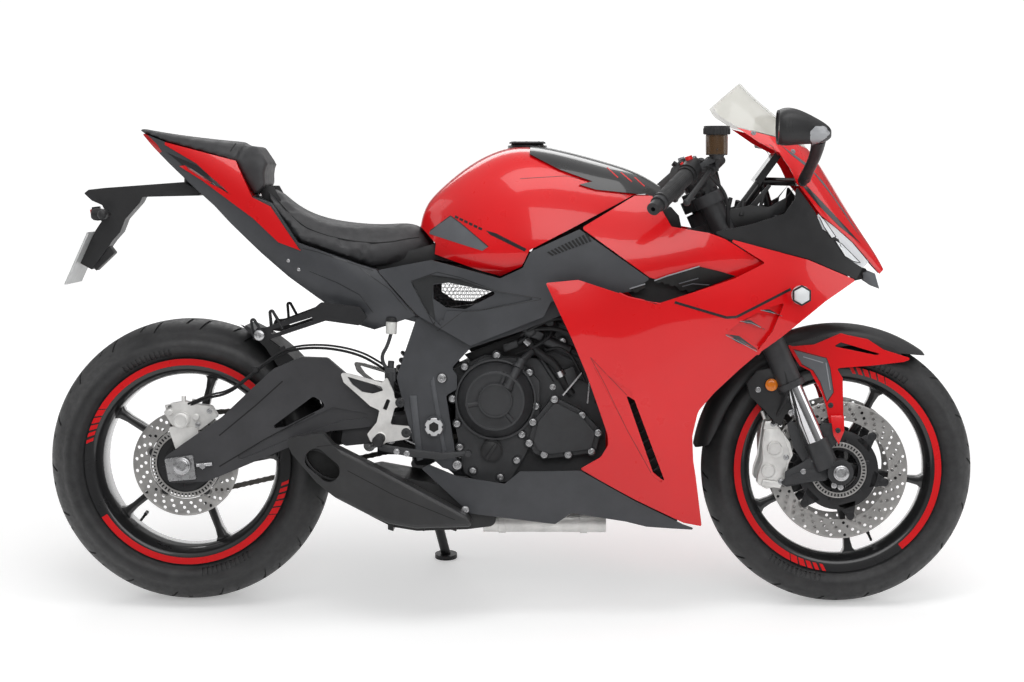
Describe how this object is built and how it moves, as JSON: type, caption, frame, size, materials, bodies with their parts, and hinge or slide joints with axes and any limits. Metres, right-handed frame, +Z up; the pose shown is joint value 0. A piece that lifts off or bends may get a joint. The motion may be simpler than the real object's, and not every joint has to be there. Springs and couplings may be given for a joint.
{
  "type": "sport motorcycle",
  "caption": "Faired sport motorcycle leaning on its side stand, with spinning wheels, a steered front end and a folding stand.",
  "frame": {"origin": "centre of the leaning bike's bounding box, on the ground it stands on", "axes": "+X points forwards, +Y to the rider's left, +Z up; the bike leans 10 degrees to the left on its stand"},
  "size_m": [2.0548, 0.8304, 1.1396],
  "materials": {
    "red_paint": "gloss",
    "tank_paint": "gloss",
    "black_gloss": "gloss",
    "black_satin": "satin",
    "dark_grey": "satin",
    "black_metal": "satin",
    "cast_silver": "satin",
    "steel": "satin",
    "chrome": "polished",
    "tyre": "matte",
    "rim_black": "gloss",
    "seat_vinyl": "grained",
    "clear_screen": "polished",
    "lamp_lens": "polished",
    "plate_white": "satin",
    "red_lens": "gloss"
  },
  "bodies": {
    "chassis": {"main_frame": "dark_grey", "frame_covers": "dark_grey", "engine_block": "black_metal", "engine_covers": "black_metal", "exhaust_pipes": "steel", "muffler": "black_satin", "belly_panels": "dark_grey", "side_fairings": "red_paint", "shoulder_panels": "red_paint", "nose_cowl": "red_paint", "nose_sides": "black_gloss", "headlights": "lamp_lens", "windscreen": "clear_screen", "mirrors": "black_satin", "fuel_tank": "tank_paint", "tank_cover": "black_gloss", "rider_seat": "seat_vinyl", "passenger_seat": "seat_vinyl", "tail_cowl": "dark_grey", "tail_panels": "red_paint", "tail_lamp": "red_lens", "plate_carrier": "black_satin", "number_plate": "plate_white", "rear_hugger": "black_satin", "swingarm": "black_metal", "rear_axle": "steel", "rear_caliper": "cast_silver", "shock_absorber": "black_metal", "drive_chain": "steel", "footrests": "cast_silver", "passenger_footrests": "black_metal", "radiator": "black_metal", "dash": "black_gloss"},
    "front_end": {"fork_yokes": "black_metal", "fork_legs": "chrome", "fork_feet": "black_metal", "front_axle": "steel", "handlebars": "black_satin", "fluid_pot": "black_satin", "front_calipers": "cast_silver", "front_fender": "black_satin", "fender_cheeks": "red_paint"},
    "front_wheel": {"front_rim": "rim_black", "front_tyre": "tyre", "front_discs": "steel"},
    "rear_wheel": {"rear_rim": "rim_black", "rear_tyre": "tyre", "rear_disc": "steel", "rear_sprocket": "steel"},
    "side_stand": {"side_stand": "black_metal"}
  },
  "joints": [
    {"name": "steering", "type": "hinge", "parent": "chassis", "child": "front_end", "pos_m": [0.44683, -0.04136, 0.79908], "axis": [-0.4067, 0.1586, 0.8997], "range_deg": [-24, 24]},
    {"name": "front_wheel_spin", "type": "hinge", "parent": "front_end", "child": "front_wheel", "pos_m": [0.7275, -0.12991, 0.2969], "axis": [0, 0.9848, -0.1736], "continuous": true},
    {"name": "rear_wheel_spin", "type": "hinge", "parent": "chassis", "child": "rear_wheel", "pos_m": [-0.7125, -0.1273, 0.31167], "axis": [0, 0.9848, -0.1736], "continuous": true},
    {"name": "side_stand_fold", "type": "hinge", "parent": "chassis", "child": "side_stand", "pos_m": [-0.2105, 0.04342, 0.26634], "axis": [0.2244, 0.9191, 0.3238], "range_deg": [0, 95]}
  ]
}
